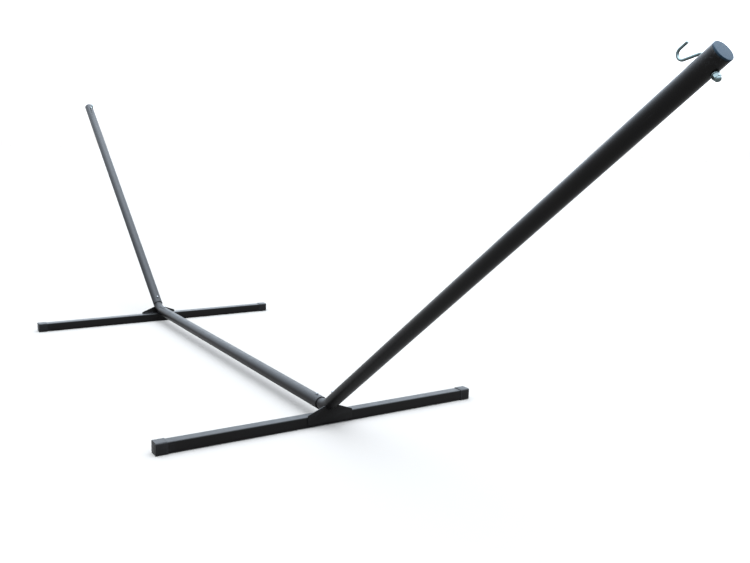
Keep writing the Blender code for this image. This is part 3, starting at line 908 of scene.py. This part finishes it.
def nut_mesh(sides=96):
    """A cap nut from the XY plane downwards: a hexagon with its corners turned off, then a closed dome."""
    flat = NUT_FLATS / 2
    bore = WIRE_R + GAP
    dome_height = NUT_TOP - NUT_LOW - NUT_HEX_HEIGHT - NUT_NECK
    shell = Shell()

    def hexagon(z, cone):
        ring = []
        for side in range(sides):
            turn = 2 * math.pi * side / sides
            off_flat = (turn + math.radians(30)) % math.radians(60) - math.radians(30)
            reach = min(flat / math.cos(off_flat), cone)
            ring.append((reach * math.cos(turn), reach * math.sin(turn), z))
        return ring

    corner = flat / math.cos(math.radians(30))
    slope = math.tan(math.radians(62))
    levels = [0.0, 0.00012, 0.00024, 0.00036, 0.00050, 0.0008, 0.0011]
    turned_off = [(z, min(corner, flat * 0.97 + slope * z)) for z in levels]
    outside = [(-z, cone) for z, cone in turned_off]
    outside += [(z - NUT_HEX_HEIGHT, cone) for z, cone in reversed(turned_off)]
    base = -NUT_HEX_HEIGHT
    outside += [(base, NUT_DOME_R + 0.0002), (base - 0.0002, NUT_DOME_R), (base - NUT_NECK, NUT_DOME_R)]
    steps = 14
    for step in range(1, steps):
        t = math.radians(90) * step / steps
        outside.append((base - NUT_NECK - dome_height * math.sin(t), NUT_DOME_R * math.cos(t)))
    depth = -(SHANK_GRIP + GAP)
    bored = [(bore, depth), (bore, -0.0006), (bore + 0.0006, 0.0)]
    rings = [shell.ring(circle(Z * z, Z, radius, sides, X)) for radius, z in bored]
    rings += [shell.ring(hexagon(z, cone), 0.5) for z, cone in outside]
    shell.chain(rings)
    shell.fan(rings[0], Z * depth)
    shell.fan(rings[-1], Z * (NUT_LOW - NUT_TOP))
    return shell.mesh("nut", 25)


def washer_mesh():
    thick = WASHER_TOP - WASHER_LOW
    bore = WIRE_R + GAP
    ease = 0.00035
    profile = fillet((WASHER_R - ease, 0.0), (WASHER_R, 0.0), (WASHER_R, -ease))
    profile += fillet((WASHER_R, ease - thick), (WASHER_R, -thick), (WASHER_R - ease, -thick))
    profile += [(bore + 0.0003, -thick), (bore, 0.0003 - thick), (bore, -0.0003), (bore + 0.0003, 0.0)]
    return turned(profile, 64).mesh("washer", 50)


def plug_mesh():
    """A crowned flange on the XY plane, and a ribbed barrel below it."""
    barrel = TUBE_INNER_R - GAP
    top = PLUG_FLANGE
    ease = PLUG_FLANGE / 3
    edge = top - PLUG_CROWN
    profile = [(0.0, top), (0.0020, top), (0.0100, top - 0.00008), (0.0180, top - 0.00025)]
    profile += fillet((TUBE_R - ease, edge), (TUBE_R, edge), (TUBE_R, edge - ease), 6)
    profile += [(TUBE_R, 0.0004), (TUBE_R - 0.0004, 0.0)]
    profile += [(barrel - 0.0003, 0.0), (barrel - 0.0005, -0.0010)]
    for rib in range(3):
        z = -0.0035 - 0.0050 * rib
        profile += [(barrel - 0.0005, z), (barrel, z - 0.0008), (barrel - 0.0005, z - 0.0016)]
    inside = barrel - PLUG_WALL
    profile += [(barrel - 0.0010, -PLUG_DEPTH), (inside, -PLUG_DEPTH), (inside, 0.0), (0.0, 0.0)]
    return turned(profile, 112).mesh("plug", 32)


# --- Snap buttons and springs ---


def button_mesh():
    """A domed pin on Z, with the collar that stops it inside the elbow."""
    pin, collar = BUTTON_D / 2, BUTTON_COLLAR_D / 2
    collar_top = math.sqrt(ELBOW_INNER_R**2 - collar**2) - GAP
    collar_low = collar_top - BUTTON_COLLAR_THICKNESS
    top = TUBE_R + BUTTON_PROUD
    dome = pin * 0.7
    ease = 0.0002
    profile = [(0.0, collar_low), (collar - ease, collar_low), (collar, collar_low + ease)]
    profile += [(collar, collar_top - ease), (collar - ease, collar_top)]
    profile += [(pin + 0.0003, collar_top), (pin, collar_top + 0.0003)]
    steps = 12
    for step in range(steps):
        t = math.radians(90) * step / steps
        profile.append((pin * math.cos(t), top - dome + dome * math.sin(t)))
    profile.append((0.0, top))
    return turned(profile, 56).mesh("button", 50)


def spring_line():
    """The strip's middle line, from the button's pad to the elbow's floor, and those two heights."""
    collar = BUTTON_COLLAR_D / 2
    half = SPRING_THICKNESS / 2
    pad_z = math.sqrt(ELBOW_INNER_R**2 - collar**2) - BUTTON_COLLAR_THICKNESS - 2 * GAP - half
    floor_z = -math.sqrt(ELBOW_INNER_R**2 - (SPRING_WIDTH / 2) ** 2) + GAP + half
    points = [(-SPRING_PAD_HALF, pad_z), (SPRING_PAD_HALF, pad_z)]
    steps = 20
    for step in range(steps + 1):
        t = math.radians(75 - 150 * step / steps)
        points.append((SPRING_REACH + SPRING_BEND_RADIUS * math.cos(t), SPRING_BEND_RADIUS * math.sin(t)))
    points += [(SPRING_PAD_HALF, floor_z), (-SPRING_PAD_HALF, floor_z)]
    return [Vector((x, 0, z)) for x, z in points], pad_z, floor_z


def spring_mesh():
    line, _, _ = spring_line()
    shell = Shell()
    rings = []
    edge = 0.0002
    for i, point in enumerate(line):
        before = (point - line[max(i - 1, 0)]).normalized()
        after = (line[min(i + 1, len(line) - 1)] - point).normalized()
        along = (before + after).normalized()
        lean = max(before.dot(along), after.dot(along))
        out = Vector((-along.z, 0, along.x)) / lean
        half, wide = SPRING_THICKNESS / 2, SPRING_WIDTH / 2
        ring = []
        for up, side in ((1, 1), (1, -1), (-1, -1), (-1, 1)):
            one = point + out * up * (half - edge) + Y * side * wide
            other = point + out * up * half + Y * side * (wide - edge)
            ring += [one, other] if up * side > 0 else [other, one]
        rings.append(shell.ring(ring, 0.3))
    shell.chain(rings)
    shell.fan(rings[0], line[0])
    shell.fan(rings[-1], line[-1])
    return shell.mesh("spring", 40)


# --- Putting the ends together ---

BEAM_FRAME = Matrix.Translation((-beam_end.x, 0, BEAM_Z))
FOOT_FRAME = Matrix.Translation((FOOT_X, 0, FOOT_MID_Z))
ARM_TUBE_FRAME = ARM_FRAME @ upright_at(ARM_START)
PLUG_FRAME = frame_at(arm_top + ARM * GAP, -ARM_UP, ARM)
HOOK_FRAME = ARM_FRAME @ upright_at(HOOK_S)
WASHER_FRAME = HOOK_FRAME @ Matrix.Translation(Z * WASHER_TOP)
NUT_FRAME = HOOK_FRAME @ Matrix.Translation(Z * NUT_TOP)
BUTTON_FRAMES = {
    "beam": CORNER_FRAME @ upright_at(BEAM_BUTTON_X),
    "arm": ARM_FRAME @ upright_at(ARM_BUTTON_X),
}
_, PAD_Z, FLOOR_Z = spring_line()

place("beam", beam_mesh(), BEAM_FRAME, coat, replaces=["beam_tube"])

for side, turn in SIDES.items():
    place(f"arm_{side}", arm_mesh(), turn @ ARM_TUBE_FRAME, coat, replaces=[f"arm_tube_{side}"])
    place(f"elbow_{side}", elbow_mesh(), turn @ CORNER_FRAME, coat, replaces=[f"elbow_tube_{side}"])
    place(f"foot_{side}", foot_mesh(), turn @ FOOT_FRAME, coat, replaces=[f"foot_tube_{side}"])
    place(f"gusset_{side}", gusset_mesh(), turn, coat, replaces=[f"gusset_plate_{side}"])
    place(f"welds_{side}", weld_mesh(), turn, coat)
    # In the right end's frame the back cap faces +Y; the left end's turn swaps front and back.
    for facing, cap_turn in ((1, IDENTITY), (-1, HALF_TURN)):
        where = "back" if (facing == 1) == (side == "right") else "front"
        spot = Matrix.Translation((FOOT_X, facing * cap_high.y, FOOT_MID_Z)) @ cap_turn
        cad_cap = f"foot_cap_{side}_{where}"
        place(f"cap_{side}_{where}", cap_mesh(), turn @ spot, cap_black, replaces=[cad_cap])
    place(f"plug_{side}", plug_mesh(), turn @ PLUG_FRAME, plug_blue, replaces=[f"arm_plug_{side}"])
    place(f"hook_{side}", hook_mesh(), turn @ HOOK_FRAME, zinc, replaces=[f"hook_bolt_{side}"])
    place(f"washer_{side}", washer_mesh(), turn @ WASHER_FRAME, zinc, replaces=[f"hook_washer_{side}"])
    place(f"nut_{side}", nut_mesh(), turn @ NUT_FRAME, zinc, replaces=[f"hook_nut_{side}"])
    for which, spot in BUTTON_FRAMES.items():
        body = f"{which}_button_{side}"
        button_at = turn @ spot
        cad_button, cad_spring = f"snap_button_{which}_{side}", f"button_spring_{which}_{side}"
        place(f"button_{which}_{side}", button_mesh(), button_at, button_steel, body, [cad_button])
        spring_at = button_at @ HALF_TURN if which == "beam" else button_at
        name = f"spring_{which}_{side}"
        spring = place(name, spring_mesh(), spring_at, spring_steel, replaces=[cad_spring])
        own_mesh(spring)


# --- Studio ---

FLOOR_HALF = 60.0
SKY_HORIZON = 1.02  # strength at the horizon
SKY_RISE = 11.0  # added in proportion to the height
SKY_TOP = 15.0  # added towards the very top
SKY_TOP_POWER = 6.0
SKY_COLOUR = (0.78, 0.88, 1.0)
SKY_COLOUR_RISE = 5.0  # full colour from a fifth of the way up
CAMERA_YAW, CAMERA_PITCH, CAMERA_ROLL = 0.55173, 0.17267, 0.02543
CAMERA_PLACE = (3.21648, -1.35682, 0.9711)
CAMERA_LENS = 38.617
CAMERA_SHIFT_X = 0.03665


def floor_material():
    f = Finish("studio_floor", Specular_IOR_Level=0.05)
    cloud = f.noise(0.7, 3.0, 0.5)
    colour = f.mix(cloud, (0.1060, 0.0965, 0.0870), (0.1090, 0.0992, 0.0896))
    grain = f.noise(90.0, 3.0, 0.6)
    return f.end(colour, f.math("MULTIPLY_ADD", cloud, 0.1, 0.85), [(grain, 0.05, 0.0004)])


def sky_light(world):
    """The only light is a soft dome: white at the horizon, brighter and a little cooler towards the top."""
    world.use_nodes = True
    tree = world.node_tree
    background = tree.nodes["Background"]

    def math_node(operation, one, other, third=0.0):
        node = tree.nodes.new("ShaderNodeMath")
        node.operation = operation
        for value, socket in zip((one, other, third), node.inputs):
            if isinstance(value, bpy.types.NodeSocket):
                tree.links.new(value, socket)
            else:
                socket.default_value = value
        return node.outputs[0]

    split = tree.nodes.new("ShaderNodeSeparateXYZ")
    direction = tree.nodes.new("ShaderNodeTexCoord").outputs["Generated"]
    tree.links.new(direction, split.inputs[0])
    height = math_node("MAXIMUM", split.outputs["Z"], 0.0)
    glow = math_node("MULTIPLY_ADD", height, SKY_RISE, SKY_HORIZON)
    top = math_node("POWER", height, SKY_TOP_POWER)
    tree.links.new(math_node("MULTIPLY_ADD", top, SKY_TOP, glow), background.inputs["Strength"])
    tint = tree.nodes.new("ShaderNodeMix")
    tint.data_type = "RGBA"
    colours = [socket for socket in tint.inputs if socket.type == "RGBA"]
    colours[0].default_value = (1.0, 1.0, 1.0, 1.0)
    colours[1].default_value = (*SKY_COLOUR, 1.0)
    tree.links.new(math_node("MULTIPLY", height, SKY_COLOUR_RISE), tint.inputs["Factor"])
    shade = next(socket for socket in tint.outputs if socket.type == "RGBA")
    tree.links.new(shade, background.inputs["Color"])


def studio():
    scene = bpy.context.scene
    half = FLOOR_HALF
    floor_mesh = bpy.data.meshes.new("floor")
    corners = [(-half, -half, 0), (half, -half, 0), (half, half, 0), (-half, half, 0)]
    floor_mesh.from_pydata(corners, [], [(0, 1, 2, 3)])
    places = np.array(corners, np.float32).ravel()
    floor_mesh.attributes.new("own_place", "FLOAT_VECTOR", "POINT").data.foreach_set("vector", places)
    floor = bpy.data.objects.new("floor", floor_mesh)
    floor_mesh.materials.append(floor_material())
    scene.collection.objects.link(floor)

    scene.world = bpy.data.worlds.new("studio")
    sky_light(scene.world)
    scene.view_settings.view_transform = "Standard"


def camera():
    """The photo's view. Yaw is from -X towards +Y, and pitch is downwards."""
    yaw, pitch, roll = CAMERA_YAW, CAMERA_PITCH, CAMERA_ROLL
    forward = Vector((-math.cos(yaw) * math.cos(pitch), math.sin(yaw) * math.cos(pitch), -math.sin(pitch)))
    level = Vector((math.sin(yaw), math.cos(yaw), 0))
    upright = level.cross(forward)
    right = level * math.cos(roll) + upright * math.sin(roll)
    up = upright * math.cos(roll) - level * math.sin(roll)
    lens = bpy.data.cameras.new("camera")
    lens.sensor_width = 36.0
    lens.lens = CAMERA_LENS
    lens.shift_x = CAMERA_SHIFT_X
    lens.clip_end = 300.0
    holder = bpy.data.objects.new("camera", lens)
    holder.matrix_world = Matrix((right, up, -forward)).transposed().to_4x4()
    holder.location = CAMERA_PLACE
    bpy.context.scene.collection.objects.link(holder)
    bpy.context.scene.camera = holder


studio()
camera()
